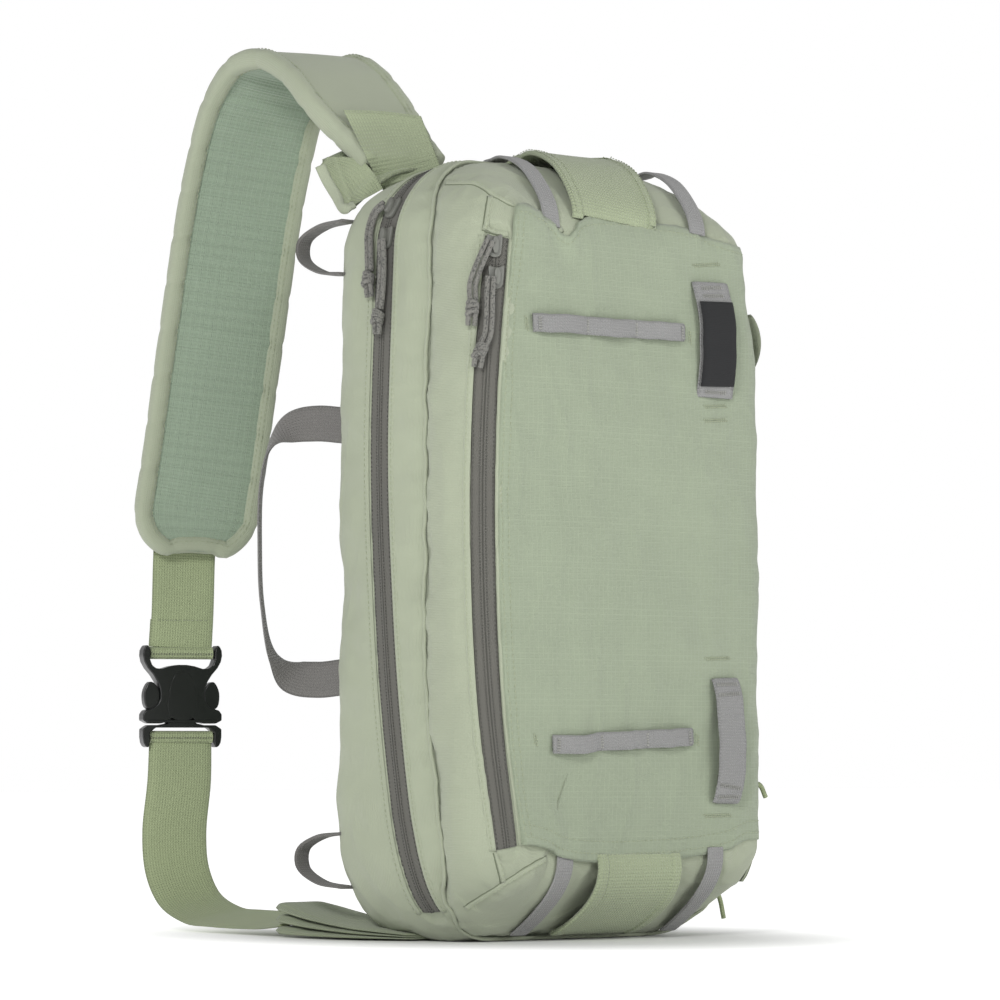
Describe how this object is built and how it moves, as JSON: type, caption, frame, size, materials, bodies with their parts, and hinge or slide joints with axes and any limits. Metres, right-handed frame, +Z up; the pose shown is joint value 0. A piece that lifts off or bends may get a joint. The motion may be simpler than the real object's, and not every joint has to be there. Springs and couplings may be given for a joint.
{
  "type": "fishing tackle sling bag",
  "caption": "Upright two-compartment sling bag with side zippers, padded one-shoulder strap, side-release buckle and lash webbing.",
  "frame": {"origin": "middle of the flat base that the bag stands on", "axes": "+Z up, -Y towards the front panel, +Y towards the wearer's back, +X to the right seen from the front"},
  "size_m": [0.2634, 0.3299, 0.5046],
  "materials": {
    "body_fabric": "matt ripstop cloth, sage green",
    "front_fabric": "matt ripstop cloth, sage green",
    "mesh_padding": "ribbed air mesh",
    "zipper_tape": "woven tape with a coil",
    "textured_webbing": "coarse woven webbing",
    "green_webbing": "flat woven webbing",
    "grey_webbing": "flat woven webbing",
    "black_plastic": "moulded acetal",
    "black_patch": "plain woven patch",
    "slider_metal": "grey painted slider",
    "pull_cord": "speckled braided cord"
  },
  "bodies": {
    "root": {"main_compartment": "body_fabric", "side_pocket": "body_fabric", "shoulder_strap": "body_fabric", "front_compartment": "front_fabric", "back_panel": "mesh_padding", "main_zipper": "zipper_tape", "front_zipper": "zipper_tape", "strap_anchor_webbing": "textured_webbing", "strap_wing_top": "textured_webbing", "strap_wing_bottom": "textured_webbing", "top_handle": "textured_webbing", "bottom_handle": "textured_webbing", "upper_webbing": "green_webbing", "lower_webbing": "green_webbing", "pocket_cord_upper": "green_webbing", "pocket_cord_lower": "green_webbing", "strap_lash_webbing": "grey_webbing", "side_handle": "grey_webbing", "back_loop_upper": "grey_webbing", "back_loop_lower": "grey_webbing", "daisy_upper": "grey_webbing", "daisy_lower": "grey_webbing", "tab_upper": "grey_webbing", "tab_lower": "grey_webbing", "top_loop_left": "grey_webbing", "top_loop_right": "grey_webbing", "bottom_loop_left": "grey_webbing", "bottom_loop_right": "grey_webbing", "side_tab": "grey_webbing", "buckle_socket": "black_plastic", "buckle_prong": "black_plastic", "label_patch": "black_patch", "front_pull_upper_slider": "slider_metal", "front_pull_upper_cord_a": "pull_cord", "front_pull_upper_cord_b": "pull_cord", "front_pull_upper_knot": "pull_cord", "front_pull_lower_slider": "slider_metal", "front_pull_lower_cord_a": "pull_cord", "front_pull_lower_cord_b": "pull_cord", "front_pull_lower_knot": "pull_cord", "main_pull_upper_slider": "slider_metal", "main_pull_upper_cord_a": "pull_cord", "main_pull_upper_cord_b": "pull_cord", "main_pull_upper_knot": "pull_cord", "main_pull_lower_slider": "slider_metal", "main_pull_lower_cord_a": "pull_cord", "main_pull_lower_cord_b": "pull_cord", "main_pull_lower_knot": "pull_cord"}
  },
  "joints": []
}
